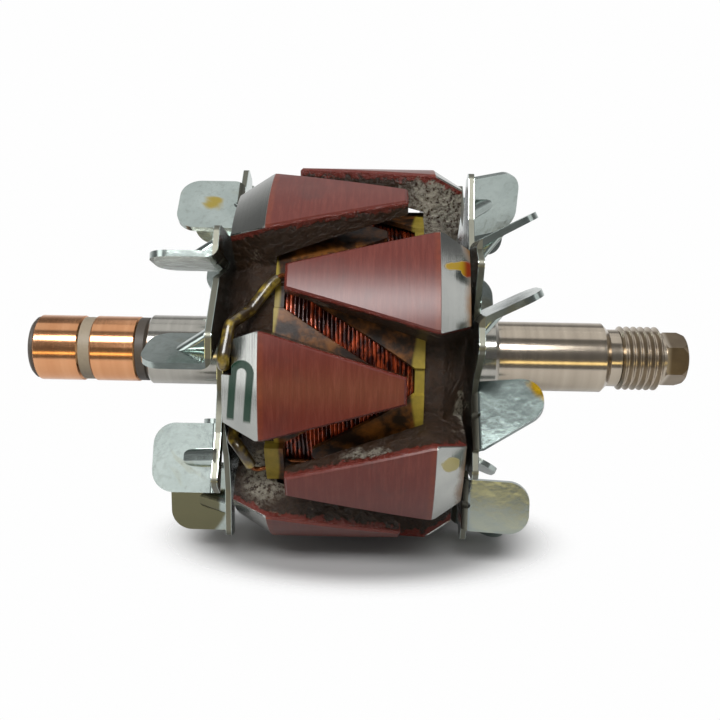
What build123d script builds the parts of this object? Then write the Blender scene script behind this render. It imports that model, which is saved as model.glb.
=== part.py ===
from build123d import *
import math
import os

os.makedirs("parts", exist_ok=True)

# Claw-pole rotor of a vehicle alternator, in millimetres.
# The shaft lies along X and its threaded drive end points to +X.
# The origin is on the axis, at the shoulder that the drive end bearing sits against.
# Angles about the shaft are measured from -Y (0 degrees) towards +Z (90 degrees).

# How far a cutting or trimming shape reaches past what it cuts
cut_over = 1.0

# Shaft
journal_dia = 15.0
drive_journal_len = 22.6
journal_chamfer = 1.3
relief_dia = 12.4
relief_len = 2.2
thread_dia = 13.8
thread_pitch = 1.5
thread_turns = 6
thread_depth = 0.9
thread_root_share = 0.16
thread_crest_share = 0.12
nose_flats = 10.0
nose_len = 5.0
nose_neck_len = 0.8
nose_neck_dia = 10.4
nose_edge = 0.25
nose_round_len = 1.8
nose_round_mid = 0.54
nose_turn = 34.2
core_seat_dia = 17.0
shoulder_len = 6.9
shoulder_chamfer = 0.8
rear_journal_len = 19.0
stub_dia = 8.6
stub_end_wall = 1.2
conductor_bore_dia = 5.8

# Slip rings and their moulded carrier
ring_dia = 14.2
ring_wall = 1.3
ring_len = 9.8
ring_chamfer = 0.35
carrier_edge = 0.6
carrier_rim_len = 1.1
carrier_rim_dia = 13.4
carrier_collar_len = 2.4
carrier_collar_dia = 13.6
carrier_neck_len = 2.4
carrier_neck_dia = 13.8
conductor_dia = 1.1
conductor_offset = 2.2
conductor_bend = 1.2
conductor_sleeve_dia = 2.2

# Claw poles
pole_count = 6
rotor_dia = 79.0
stack_len = 46.7
rear_plate_len = 8.6
front_plate_len = 7.8
seat_proud = 1.0
seat_dia = 48.0
web_dia = 60.0
web_slope_len = 4.2
web_slope_drop = 4.4
claw_len = 33.4
bevel_angle = 31.0
rear_bevel_len = 7.1
front_bevel_len = 5.7
claw_face_half_width = 7.6
claw_base_half_width = 10.4
claw_tip_half_width = 2.6
claw_corner_round = 3.0
claw_side_draft = 6.0
claw_edge_chamfer = 0.5
claw_tip_thickness = 3.0
claw_root_inner_dia = 64.2
seat_edge = 0.5
claw_overlap = 2.0

# Core, bobbin and field coil
core_dia = 39.0
bobbin_tube_wall = 1.2
bobbin_flange = 1.8
bobbin_flange_dia = 59.4
leaf_gap = 0.1
leaf_thickness = 0.8
leaf_len = 21.0
leaf_base_half_width = 13.0
leaf_tip_half_width = 1.2
leaf_tip_round = 0.9
flange_rim = 0.15
coil_dia = 58.4
coil_end_gap = 0.1
coil_crown = 0.3
lug_outer_dia = 64.6
lug_len = 3.6
lug_angles = (-25.0, -41.0)

# Leads from the coil to the slip ring conductors
channel_angles = (5.5, -25.0)
lead_dia = 0.9
lead_bend = 1.5
lead_sleeve_dia = 2.2
lead_clear = 0.1
# Corners of each lead's bare start: distance from the fan seat, radius, angle about the shaft
start_lead_tail = ((16.5, 29.65, 30.5), (13.4, 29.65, 31.5))
finish_lead_tail = ((16.0, 29.65, -36.0), (12.0, 29.65, -36.0), (9.2, 31.2, -36.0))
# Corners of each sleeve: the same three numbers, from its open end to the channel
sleeve_starts = (0.6, 0.25)
sleeve_end_gap = 0.2
start_lead_run = (
    (11.8, 31.9, 38.5), (9.0, 31.9, 33.0), (5.6, 31.9, 23.5), (2.4, 35.4, 17.4), (1.5, 37.6, 5.5),
)
finish_lead_run = ((5.6, 32.1, -36.5), (3.2, 31.9, -25.5), (1.5, 29.5, -25.0))
channel_width = 3.4
channel_depth = 3.0
clip_len = 3.6
clip_dia = 2.4
conductor_reach = 2.6

# Fans, pressed from sheet
fan_sheet = 1.2
fan_proud = 0.8
fan_bore_clear = 0.1
fan_corner_round = 1.6
blade_corner_round = 4.2
blade_bend_radius = 1.0
gusset_radius = 1.7
gusset_leg = 6.2
gusset_foot = 3.6
gusset_round = 1.2
groove_radius = 1.0
groove_depth = 0.35
lobe_root_setback = 12.5
lobe_tip_angle = 6.0
lobe_root_angle = 13.0
dimple_dia = 2.4
dimple_depth = 0.4
weld_circle_dia = 40.0
weld_count = 6
rear_blade_height = 13.4
front_blade_height = 13.5
# Each blade: angle about the shaft, fan's rim to its middle, lean of its chord from the radius,
# bend, chord, cut off its outer corner, fan's rim to the waist beyond its lobe, angle to that waist
rear_blades = (
    (88.0, 10.0, 45.0, 90.0, 13.2, 0.0, 1.0, 13.0),
    (43.0, 6.9, -27.0, 90.0, 13.2, 0.0, 8.3, 15.0),
    (12.0, 6.7, -27.0, 90.0, 13.2, 0.0, 4.8, 24.0),
    (-27.5, 6.7, -43.0, 90.0, 13.2, 0.0, 8.3, 15.0),
    (-62.0, 7.1, -30.0, 90.0, 13.2, 0.0, 8.3, 15.0),
    (-98.0, 7.1, -29.0, 90.0, 13.2, 0.0, 8.3, 15.0),
    (-134.0, 7.1, -29.0, 90.0, 13.2, 0.0, 8.3, 15.0),
    (-170.0, 7.1, -29.0, 90.0, 13.2, 0.0, 8.3, 15.0),
    (154.0, 7.1, -29.0, 90.0, 13.2, 0.0, 8.3, 15.0),
    (118.0, 7.1, -29.0, 90.0, 13.2, 0.0, 8.3, 15.0),
)
front_blades = (
    (86.0, 9.0, -20.0, 64.0, 13.2, 0.0, 8.3, 15.0),
    (47.0, 7.5, -42.0, 62.0, 13.2, 0.0, 8.3, 15.0),
    (19.6, 7.7, -16.0, 64.0, 13.2, 0.0, 8.3, 15.0),
    (-12.0, 8.7, -43.0, 78.0, 13.2, 6.2, 8.3, 15.0),
    (-54.0, 7.1, -34.0, 80.0, 10.6, 0.0, 8.3, 15.0),
    (-92.0, 7.1, -30.0, 64.0, 13.2, 0.0, 8.3, 15.0),
    (-128.0, 7.1, -30.0, 64.0, 13.2, 0.0, 8.3, 15.0),
    (-164.0, 7.1, -30.0, 64.0, 13.2, 0.0, 8.3, 15.0),
    (160.0, 7.1, -30.0, 64.0, 13.2, 0.0, 8.3, 15.0),
    (124.0, 7.1, -30.0, 64.0, 13.2, 0.0, 8.3, 15.0),
)

# Stations along the shaft, worked out from the sizes above
lead_tails = (start_lead_tail, finish_lead_tail)
lead_runs = (start_lead_run, finish_lead_run)
front_fan_x = -shoulder_len
front_seat_x = front_fan_x - fan_sheet
rear_seat_x = front_seat_x - stack_len
rear_fan_x = rear_seat_x - fan_sheet
rear_journal_x = rear_fan_x - rear_journal_len
inner_ring_x = rear_journal_x - carrier_neck_len
outer_ring_x = inner_ring_x - ring_len - carrier_collar_len
rim_x = outer_ring_x - ring_len
carrier_end_x = rim_x - carrier_rim_len
stub_end_x = carrier_end_x + stub_end_wall
relief_x = drive_journal_len + journal_chamfer
thread_x = relief_x + relief_len
nose_neck_x = thread_x + thread_pitch * thread_turns
nose_x = nose_neck_x + nose_neck_len
shaft_end_x = nose_x + nose_len
rear_plate_x = rear_seat_x + seat_proud + rear_plate_len
front_plate_x = front_seat_x - seat_proud - front_plate_len
lead_x = rear_seat_x + channel_depth / 2

rotor_radius = rotor_dia / 2
fan_radius = rotor_radius + fan_proud
fan_root_radius = fan_radius - lobe_root_setback
bore_radius = core_seat_dia / 2
ring_inner_radius = ring_dia / 2 - ring_wall
stub_radius = stub_dia / 2
conductor_bore_radius = conductor_bore_dia / 2
web_radius = web_dia / 2
coil_radius = coil_dia / 2
flange_radius = bobbin_flange_dia / 2
tube_radius = core_dia / 2 + bobbin_tube_wall
joint_radius = bore_radius + conductor_reach


def turned(points):
    """A solid of revolution about the shaft from (x, radius) points."""
    profile = make_face(Polyline([(x, 0, r) for x, r in points] + [(points[0][0], 0, points[0][1])]))
    return revolve(profile, Axis.X, 360)


def tube(x0, x1, outer, inner):
    """A plain tube along the shaft."""
    return turned([(x0, inner), (x0, outer), (x1, outer), (x1, inner)])


def cross_plane(x):
    """The plane across the shaft at x, seen from the slip ring end."""
    return Plane(origin=(x, 0, 0), x_dir=(0, -1, 0), z_dir=(-1, 0, 0))


def about_shaft(shape, angle):
    """The shape turned about the shaft from 0 degrees to the given angle."""
    return shape.rotate(Axis.X, -angle)


def polar(x, r, angle):
    """The point at station x, radius r and the given angle about the shaft."""
    a = math.radians(angle)
    return (x, -r * math.cos(a), r * math.sin(a))


def radial_rod(x, angle, r0, r1, dia):
    """A round rod or hole that points away from the shaft."""
    a = math.radians(angle)
    plane = Plane(origin=polar(x, r0, angle), z_dir=(0, -math.cos(a), math.sin(a)))
    return extrude(plane * Circle(dia / 2), r1 - r0)


def swept_wire(points, bend, dia):
    """A round wire along straight runs joined by arcs."""
    path = FilletPolyline(*points, radius=[bend] * (len(points) - 2))
    start = Plane(origin=path @ 0, z_dir=path % 0)
    return sweep(start * Circle(dia / 2), path=path)


# Shaft
def thread_points():
    """Ring grooves with flat crests, one for each turn of the thread."""
    root = thread_dia / 2 - thread_depth
    crest = thread_dia / 2
    half_root = thread_pitch * thread_root_share / 2
    half_crest = thread_pitch * thread_crest_share / 2
    points = []
    for turn in range(thread_turns):
        x = thread_x + turn * thread_pitch
        middle = x + thread_pitch / 2
        points += [(x + half_root, root), (middle - half_crest, crest)]
        points += [(middle + half_crest, crest), (x + thread_pitch - half_root, root)]
    return points


def make_shaft():
    root = thread_dia / 2 - thread_depth
    nose_corner = nose_flats / math.sqrt(3)
    profile = [
        (stub_end_x, conductor_bore_radius),
        (stub_end_x, stub_radius),
        (rear_journal_x, stub_radius),
        (rear_journal_x, journal_dia / 2 - journal_chamfer / 3),
        (rear_journal_x + journal_chamfer / 3, journal_dia / 2),
        (rear_fan_x, journal_dia / 2),
        (rear_fan_x, core_seat_dia / 2),
        (-shoulder_chamfer, core_seat_dia / 2),
        (0, core_seat_dia / 2 - shoulder_chamfer),
        (0, journal_dia / 2),
        (drive_journal_len, journal_dia / 2),
        (relief_x, relief_dia / 2),
        (thread_x, relief_dia / 2),
        (thread_x, root),
    ]
    profile += thread_points()
    profile += [
        (nose_neck_x, root),
        (nose_neck_x, nose_neck_dia / 2),
        (nose_x, nose_neck_dia / 2),
        (nose_x, 0),
        (lead_x + conductor_bore_radius, 0),
        (lead_x + conductor_bore_radius, conductor_bore_radius),
    ]
    body = turned(profile)
    nose = extrude(
        Plane(origin=(nose_x, 0, 0), x_dir=(0, -1, 0), z_dir=(1, 0, 0)) * RegularPolygon(nose_corner, 6),
        nose_len,
    )
    nose = about_shaft(nose, nose_turn)
    envelope = turned([
        (nose_x, 0),
        (nose_x, nose_corner - nose_edge),
        (nose_x + nose_edge, nose_corner),
        (shaft_end_x - nose_round_len, nose_corner),
        (shaft_end_x - nose_round_mid, nose_corner - nose_round_mid),
        (shaft_end_x, nose_corner - nose_round_len),
        (shaft_end_x, 0),
    ])
    body = body + (nose & envelope)
    for ring_x, angle in zip((outer_ring_x, inner_ring_x), channel_angles):
        mid_x = ring_x - ring_len / 2
        body -= radial_rod(mid_x, angle, 0, stub_radius + cut_over, conductor_sleeve_dia)
    for angle in channel_angles:
        body -= radial_rod(lead_x, angle, 0, bore_radius + cut_over, conductor_sleeve_dia)
    return body


# Slip rings, their moulded carrier and the conductors inside it
def make_ring(ring_x):
    outer = ring_dia / 2
    x0 = ring_x - ring_len
    return turned([
        (x0, ring_inner_radius),
        (x0, outer - ring_chamfer),
        (x0 + ring_chamfer, outer),
        (ring_x - ring_chamfer, outer),
        (ring_x, outer - ring_chamfer),
        (ring_x, ring_inner_radius),
    ])


def make_conductor(ring_x, angle):
    mid_x = ring_x - ring_len / 2
    points = [
        polar(mid_x, ring_inner_radius, angle),
        polar(mid_x, conductor_offset, angle),
        polar(lead_x, conductor_offset, angle),
        polar(lead_x, joint_radius, angle),
    ]
    return swept_wire(points, conductor_bend, conductor_dia)


def make_carrier(conductors):
    carrier = turned([
        (carrier_end_x, 0),
        (carrier_end_x, carrier_rim_dia / 2 - carrier_edge),
        (carrier_end_x + carrier_edge, carrier_rim_dia / 2),
        (rim_x, carrier_rim_dia / 2),
        (rim_x, ring_inner_radius),
        (outer_ring_x, ring_inner_radius),
        (outer_ring_x, carrier_collar_dia / 2),
        (inner_ring_x - ring_len, carrier_collar_dia / 2),
        (inner_ring_x - ring_len, ring_inner_radius),
        (inner_ring_x, ring_inner_radius),
        (inner_ring_x, carrier_neck_dia / 2),
        (rear_journal_x - carrier_edge, carrier_neck_dia / 2),
        (rear_journal_x, carrier_neck_dia / 2 - carrier_edge),
        (rear_journal_x, stub_radius),
        (stub_end_x, stub_radius),
        (stub_end_x, 0),
    ])
    for conductor in conductors:
        carrier -= conductor
    return carrier


def make_bore_insulator(conductors):
    """The moulded filling of the shaft's bore, with a spigot round each conductor's end."""
    filling = turned([
        (stub_end_x, 0),
        (stub_end_x, conductor_bore_radius),
        (lead_x + conductor_bore_radius, conductor_bore_radius),
        (lead_x + conductor_bore_radius, 0),
    ])
    stub = tube(stub_end_x, rear_journal_x, stub_radius, 0)
    for ring_x, angle in zip((outer_ring_x, inner_ring_x), channel_angles):
        spigot = radial_rod(ring_x - ring_len / 2, angle, 0, stub_radius + cut_over, conductor_sleeve_dia)
        filling += spigot & stub
    for angle in channel_angles:
        filling += radial_rod(lead_x, angle, 0, bore_radius, conductor_sleeve_dia)
    for conductor in conductors:
        filling -= conductor
    return filling


# Claw poles, built with the fan seat at x = 0 and the claws pointing to +X
def claw_blank(bevel_len, plate_len):
    face_radius = rotor_radius - bevel_len * math.tan(math.radians(bevel_angle))
    face_x = seat_proud
    tip_x = face_x + claw_len
    plate_x = face_x + plate_len
    inner = web_radius - web_slope_drop - claw_overlap
    return turned([
        (face_x, inner),
        (face_x, face_radius),
        (face_x + bevel_len, rotor_radius),
        (tip_x, rotor_radius),
        (tip_x, rotor_radius - claw_tip_thickness),
        (plate_x, claw_root_inner_dia / 2),
        (plate_x, inner),
    ])


def claw_prism(bevel_len):
    """The outline of one claw seen from outside, pressed in towards the shaft."""
    face_x = seat_proud
    base_x = face_x + bevel_len
    tip_x = face_x + claw_len
    slope = (claw_base_half_width - claw_tip_half_width) / (tip_x - base_x)
    end_x = tip_x + cut_over
    end_w = claw_tip_half_width - slope * cut_over
    top = rotor_radius + cut_over / 2
    plane = Plane(origin=(0, -top, 0), x_dir=(1, 0, 0), z_dir=(0, 1, 0))
    outline = Polyline(
        (face_x - cut_over, -claw_face_half_width),
        (base_x, -claw_base_half_width),
        (end_x, -end_w),
        (end_x, end_w),
        (base_x, claw_base_half_width),
        (face_x - cut_over, claw_face_half_width),
        (face_x - cut_over, -claw_face_half_width),
    )
    sketch = make_face(outline)
    shoulders = [v for v in sketch.vertices() if abs(v.X - base_x) < 0.01]
    sketch = fillet(shoulders, claw_corner_round)
    return extrude(plane * sketch, top - (web_radius - web_slope_drop), taper=claw_side_draft)


def make_claw(bevel_len, plate_len):
    claw = claw_blank(bevel_len, plate_len) & claw_prism(bevel_len)
    rim = [
        e for e in claw.edges()
        if abs(math.hypot(e.center().Y, e.center().Z) - rotor_radius) < 0.25
        and e.center().X > seat_proud + bevel_len + 0.5
    ]
    return chamfer(rim, claw_edge_chamfer)


def make_pole(bevel_len, plate_len):
    slope_x = seat_proud + web_slope_len
    hub = turned([
        (0, bore_radius),
        (0, seat_dia / 2 - seat_edge),
        (seat_proud, seat_dia / 2 + seat_edge),
        (seat_proud, web_radius - web_slope_drop),
        (slope_x, web_radius),
        (seat_proud + plate_len, web_radius),
        (seat_proud + plate_len, bore_radius),
    ])
    claw = make_claw(bevel_len, plate_len)
    pole = hub
    for k in range(pole_count):
        pole += about_shaft(claw, k * 360 / pole_count)
    return pole


def make_rear_pole():
    pole = make_pole(rear_bevel_len, rear_plate_len).moved(Location((rear_seat_x, 0, 0)))
    for angle in channel_angles:
        channel = Box(
            channel_depth, rotor_radius - bore_radius + 2 * cut_over, channel_width,
            align=(Align.MIN, Align.MAX, Align.CENTER),
        ).moved(Location((rear_seat_x, -bore_radius + cut_over, 0)))
        pole -= about_shaft(channel, angle)
    for run, angle, share in zip(lead_runs, channel_angles, sleeve_starts):
        points = sleeve_points(run, angle, share)
        pole -= swept_wire(points, lead_bend, lead_sleeve_dia + 2 * lead_clear)
    return pole


def make_front_pole():
    pole = mirror(make_pole(front_bevel_len, front_plate_len), Plane.YZ)
    pole = pole.moved(Location((front_seat_x, 0, 0)))
    return about_shaft(pole, 180 / pole_count)


# Core, bobbin and coil
def make_leaf():
    """One insulating leaf, built at the rear flange and pointing to +X under its claw."""
    inner = flange_radius + leaf_gap
    start = rear_plate_x
    shell = tube(start, start + leaf_len + cut_over, inner + leaf_thickness, inner)
    plane = Plane(origin=(start, -inner - leaf_thickness - cut_over, 0), x_dir=(1, 0, 0), z_dir=(0, 1, 0))
    sketch = make_face(Polyline(
        (0, -leaf_base_half_width),
        (bobbin_flange, -leaf_base_half_width),
        (leaf_len, -leaf_tip_half_width),
        (leaf_len, leaf_tip_half_width),
        (bobbin_flange, leaf_base_half_width),
        (0, leaf_base_half_width),
        (0, -leaf_base_half_width),
    ))
    tips = [v for v in sketch.vertices() if v.X > leaf_len - 0.01]
    sketch = fillet(tips, leaf_tip_round)
    return shell & extrude(plane * sketch, inner)


def make_flange():
    """The rear flange with its six leaves."""
    start = rear_plate_x
    flange = tube(start, start + bobbin_flange, flange_radius + flange_rim, core_dia / 2)
    leaf = make_leaf()
    for k in range(pole_count):
        flange += about_shaft(leaf, k * 360 / pole_count)
    return flange


def make_lug():
    """The lug on the rear flange that holds the finish lead where it leaves the coil."""
    x0 = rear_plate_x + bobbin_flange + coil_end_gap - lug_len
    band = tube(x0, x0 + lug_len, lug_outer_dia / 2, web_radius + lead_clear)
    foot = tube(rear_plate_x, x0 + lug_len, web_radius + 2 * lead_clear, flange_radius - cut_over)
    first, last = [math.radians(angle) for angle in lug_angles]
    reach = lug_outer_dia
    sector = make_face(Polyline(
        (0, 0),
        (reach * math.cos(first), reach * math.sin(first)),
        (reach * math.cos(last), reach * math.sin(last)),
        (0, 0),
    ))
    return (band + foot) & extrude(cross_plane(x0 - cut_over) * sector, -lug_len - 2 * cut_over)


def make_bobbin():
    bobbin = tube(rear_plate_x, front_plate_x, tube_radius, core_dia / 2)
    rear = make_flange()
    middle = (rear_plate_x + front_plate_x) / 2
    front = mirror(rear, Plane(origin=(middle, 0, 0), z_dir=(1, 0, 0)))
    front = about_shaft(front, 180 / pole_count)
    bobbin = bobbin + rear + front + make_lug()
    for tail, run in zip(lead_tails, lead_runs):
        points = lead_corners(tail) + lead_corners(run)[:2]
        bobbin -= swept_wire(points, lead_bend, lead_dia + 2 * lead_clear)
    return bobbin


def make_coil():
    x0 = rear_plate_x + bobbin_flange + coil_end_gap
    x1 = front_plate_x - bobbin_flange - coil_end_gap
    return turned([
        (x0, tube_radius),
        (x0, coil_radius - coil_crown),
        (x0 + coil_crown, coil_radius),
        (x1 - coil_crown, coil_radius),
        (x1, coil_radius - coil_crown),
        (x1, tube_radius),
    ])


# Coil leads, their sleeves and the clips that join them to the conductors
def lead_corners(corners):
    """Points of a lead from (distance from the fan seat, radius, angle) corners."""
    return [Vector(*polar(rear_seat_x + x, r, angle)) for x, r, angle in corners]


def make_lead(tail, run, channel):
    end = Vector(*polar(lead_x, joint_radius, channel))
    return swept_wire(lead_corners(tail) + lead_corners(run) + [end], lead_bend, lead_dia)


def sleeve_points(run, channel, share):
    """The run of a sleeve: it starts past the first corner of the lead and ends at its clip."""
    corners = lead_corners(run)
    start = corners[0] + (corners[1] - corners[0]) * share
    end_radius = joint_radius + clip_len / 2 + sleeve_end_gap
    return [start] + corners[1:] + [Vector(*polar(lead_x, end_radius, channel))]


def make_sleeve(run, channel, share):
    points = sleeve_points(run, channel, share)
    return swept_wire(points, lead_bend, lead_sleeve_dia) - swept_wire(points, lead_bend, lead_dia)


def make_clip(channel):
    r0 = joint_radius - clip_len / 2
    r1 = joint_radius + clip_len / 2
    clip = radial_rod(lead_x, channel, r0, r1, clip_dia)
    clip -= radial_rod(lead_x, channel, r0, joint_radius, conductor_dia)
    return clip - radial_rod(lead_x, channel, joint_radius, r1, lead_dia)


# Fans, built with the sheet from x = 0 to fan_sheet and the blades standing towards +X
def section_plane(y):
    """The plane across a fold at y, with its coordinates along x and z."""
    return Plane(origin=(0, y, 0), x_dir=(1, 0, 0), z_dir=(0, -1, 0))


def fold_point(bend, radius, along):
    """A point past the fold, at a radius from its centre and a distance up the blade."""
    b = math.radians(bend)
    x = fan_sheet + blade_bend_radius - radius * math.cos(b) + along * math.sin(b)
    z = radius * math.sin(b) + along * math.cos(b)
    return (x, z)


def make_fold(bend, chord):
    """The bent stretch between the sheet and a blade."""
    centre = (fan_sheet + blade_bend_radius, 0)
    outer_arc = CenterArc(centre, blade_bend_radius + fan_sheet, 180, -bend).edge()
    inner_arc = CenterArc(centre, blade_bend_radius, 180, -bend).edge()
    section = make_face(Wire([
        outer_arc,
        Line(outer_arc @ 1, inner_arc @ 1).edge(),
        inner_arc,
        Line(inner_arc @ 0, outer_arc @ 0).edge(),
    ]))
    return extrude(section_plane(chord / 2) * section, chord)


def make_flat(bend, height, chord, cut, side):
    """The straight part of a blade, past its fold. The cut narrows it towards its outer corner."""
    b = math.radians(bend)
    outer = blade_bend_radius + fan_sheet
    straight = height - outer
    x, z = fold_point(bend, outer, 0)
    outline = Polyline(
        (-side * chord / 2, 0),
        (side * chord / 2, 0),
        (side * (chord / 2 - cut), straight),
        (-side * chord / 2, straight),
        (-side * chord / 2, 0),
    )
    sketch = make_face(outline)
    tips = [v for v in sketch.vertices() if v.Y > straight - 0.01]
    sketch = fillet(tips, blade_corner_round)
    plane = Plane(origin=(x, 0, z), x_dir=(0, 1, 0), z_dir=(math.cos(b), 0, -math.sin(b)))
    return extrude(plane * sketch, fan_sheet)


def make_gusset(bend):
    """The pressed rib across the inside of a fold."""
    inner = blade_bend_radius
    corner = fold_point(bend / 2, inner + fan_sheet / 2, 0)
    top = fold_point(bend, inner + fan_sheet / 2, gusset_leg)
    outline = Polyline(
        (fan_sheet / 2, -gusset_foot),
        top,
        corner,
        (fan_sheet / 2, 0),
        (fan_sheet / 2, -gusset_foot),
    )
    rib = extrude(section_plane(gusset_radius) * make_face(outline), 2 * gusset_radius)
    crest = [
        e for e in rib.edges()
        if abs(abs(e.center().Y) - gusset_radius) < 0.01 and e.length > gusset_leg * 1.1
    ]
    return fillet(crest, gusset_round)


def make_groove(bend):
    """The groove that the same pressing leaves on the outside of a fold."""
    half = math.radians(bend / 2)
    x, z = fold_point(bend / 2, blade_bend_radius + fan_sheet + groove_radius - groove_depth, 0)
    along = Vector(math.sin(half), 0, math.cos(half))
    plane = Plane(origin=Vector(x, 0, z) - along * gusset_foot, z_dir=along)
    return extrude(plane * Circle(groove_radius), 2 * gusset_foot)


def blade_place(blade):
    """Where a blade's fold line lies on the sheet, and the way that it runs outwards."""
    angle, setback, lean = blade[:3]
    line = math.radians(angle + lean)
    out = Vector(0, -math.cos(line), math.sin(line))
    return Vector(*polar(0, fan_radius - setback, angle)), out


def blank_point(radius, angle):
    """A point of the flat blank, with -Y as its first coordinate and Z as its second."""
    a = math.radians(angle)
    return (radius * math.cos(a), radius * math.sin(a))


def make_lobe(blade, side):
    """The lobe of the blank that carries one blade on its straight edge, on that side of it."""
    angle, setback, lean, bend, chord, cut, waist_setback, waist_angle = blade
    mid = Vector(*blank_point(fan_radius - setback, angle))
    half = Vector(*blank_point(chord / 2, angle + lean))
    outer = mid + half
    inner = mid - half
    start = math.degrees(math.atan2(outer.Y, outer.X))
    sketch = make_face(Polyline(
        (0, 0),
        (inner.X, inner.Y),
        (outer.X, outer.Y),
        blank_point(fan_radius, start + side * lobe_tip_angle),
        blank_point(fan_radius - waist_setback, start + side * waist_angle),
        blank_point(fan_root_radius, start + side * (waist_angle + lobe_root_angle)),
        (0, 0),
    ))
    tip = [v for v in sketch.vertices() if math.hypot(v.X, v.Y) > fan_radius - 0.01]
    return fillet(tip, fan_corner_round)


def make_fan(blades, height, side):
    """A fan whose lobes run from their blades to the side of +1 or -1 about the shaft."""
    blank = Circle(fan_root_radius)
    for blade in blades:
        blank += make_lobe(blade, side)
    blank -= Circle(bore_radius + fan_bore_clear)
    fan = extrude(cross_plane(0) * blank, -fan_sheet)
    grooves = []
    for blade in blades:
        bend, chord, cut = blade[3:6]
        place, out = blade_place(blade)
        notch = Vector(1, 0, 0).cross(out) * side
        seat = Location(Plane(origin=place, x_dir=(1, 0, 0), z_dir=notch))
        folded = make_fold(bend, chord) + make_flat(bend, height, chord, cut, side) + make_gusset(bend)
        fan += folded.moved(seat)
        grooves.append(make_groove(bend).moved(seat))
    for groove in grooves:
        fan -= groove
    dimple_x = fan_sheet - dimple_depth
    for k in range(weld_count):
        fan -= dimple_at(dimple_x, weld_circle_dia / 2, (k + 0.5) * 360 / weld_count)
    return fan


def dimple_at(x, radius, angle):
    """A shallow round dimple pressed into the blade side of the sheet."""
    disc = Cylinder(dimple_dia / 2, 2 * dimple_depth, rotation=(0, 90, 0))
    return disc.moved(Location(polar(x + dimple_depth, radius, angle)))


export_list = {}


def keep(name, shape):
    export_list[name] = shape


conductors = [
    make_conductor(ring_x, angle)
    for ring_x, angle in zip((outer_ring_x, inner_ring_x), channel_angles)
]
keep("shaft", make_shaft())
keep("slip_ring_outer", make_ring(outer_ring_x))
keep("slip_ring_inner", make_ring(inner_ring_x))
keep("slip_ring_carrier", make_carrier(conductors))
keep("bore_insulator", make_bore_insulator(conductors))
keep("conductor_outer_ring", conductors[0])
keep("conductor_inner_ring", conductors[1])
keep("rear_claw_pole", make_rear_pole())
keep("front_claw_pole", make_front_pole())
keep("pole_core", tube(rear_plate_x, front_plate_x, core_dia / 2, bore_radius))
keep("bobbin", make_bobbin())
keep("field_coil", make_coil())
rear_fan = make_fan(rear_blades, rear_blade_height, 1)
keep("rear_fan", mirror(rear_fan, Plane.YZ).moved(Location((rear_seat_x, 0, 0))))
front_fan = make_fan(front_blades, front_blade_height, -1)
keep("front_fan", front_fan.moved(Location((front_seat_x, 0, 0))))
lead_rows = zip(("start", "finish"), lead_tails, lead_runs, channel_angles, sleeve_starts)
for label, tail, run, channel, share in lead_rows:
    keep("coil_lead_" + label, make_lead(tail, run, channel))
    keep("lead_sleeve_" + label, make_sleeve(run, channel, share))
    keep("lead_clip_" + label, make_clip(channel))

for name, shape in export_list.items():
    export_step(shape, "parts/" + name + ".step")
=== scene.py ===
import math

import bmesh
import bpy
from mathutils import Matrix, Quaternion, Vector


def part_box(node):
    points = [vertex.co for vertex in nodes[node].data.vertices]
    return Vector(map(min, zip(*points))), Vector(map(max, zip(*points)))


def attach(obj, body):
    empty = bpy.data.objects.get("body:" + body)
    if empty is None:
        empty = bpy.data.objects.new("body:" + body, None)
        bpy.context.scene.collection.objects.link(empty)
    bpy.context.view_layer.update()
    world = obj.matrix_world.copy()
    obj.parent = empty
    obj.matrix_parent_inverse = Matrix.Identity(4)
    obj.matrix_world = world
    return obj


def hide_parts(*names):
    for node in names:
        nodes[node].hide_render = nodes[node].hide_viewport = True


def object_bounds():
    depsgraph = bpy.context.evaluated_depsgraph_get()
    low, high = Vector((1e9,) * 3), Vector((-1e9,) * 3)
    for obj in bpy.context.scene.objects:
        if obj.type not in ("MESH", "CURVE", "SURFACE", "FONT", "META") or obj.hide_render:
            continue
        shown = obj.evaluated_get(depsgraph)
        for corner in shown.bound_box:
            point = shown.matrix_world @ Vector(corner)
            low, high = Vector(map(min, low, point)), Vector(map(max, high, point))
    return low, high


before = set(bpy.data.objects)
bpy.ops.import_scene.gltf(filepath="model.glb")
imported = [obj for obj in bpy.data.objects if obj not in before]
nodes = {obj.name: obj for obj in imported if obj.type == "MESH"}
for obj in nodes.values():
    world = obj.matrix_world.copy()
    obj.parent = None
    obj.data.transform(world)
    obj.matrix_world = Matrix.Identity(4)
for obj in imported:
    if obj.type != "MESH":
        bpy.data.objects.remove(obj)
cad_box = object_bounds()

# Sizes of the rotor in metres: the boxes of the parts in model.glb, and the rest as the part is
# built
MM = 0.001
front_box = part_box("front_claw_pole")
rear_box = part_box("rear_claw_pole")
coil_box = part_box("field_coil")
bobbin_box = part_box("bobbin")
rotor_radius = front_box[1][2]
coil_radius = coil_box[1][2]
seat_proud = 1.0 * MM
bevel_angle = 31.0
rear_bevel_len = 7.1 * MM
front_bevel_len = 5.7 * MM
bevel_slope = math.tan(math.radians(bevel_angle))
rear_edge_x = rear_box[0][0] + seat_proud + rear_bevel_len
front_edge_x = front_box[1][0] - seat_proud - front_bevel_len
half_sheet = 0.6 * MM
rear_disc_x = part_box("rear_fan")[1][0] - half_sheet
front_disc_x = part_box("front_fan")[0][0] + half_sheet

# The field coil's outer layer, drawn turn by turn
wire_dia = 0.77 * MM
turn_segments = 120

# Where a finish changes along the shaft, how far it reaches and how long its streaks are
thread_x = 26.0 * MM
nose_x = 36.5 * MM
rings_middle_x = -88.4 * MM
rings_half_span = 10.1 * MM
sheared_half = 0.5 * MM
rear_yellow_x = bobbin_box[0][0] + 2.6 * MM
front_yellow_x = bobbin_box[1][0] - 2.4 * MM
yellow_swing = 0.9 * MM
streak_squeeze = 0.12

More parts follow.
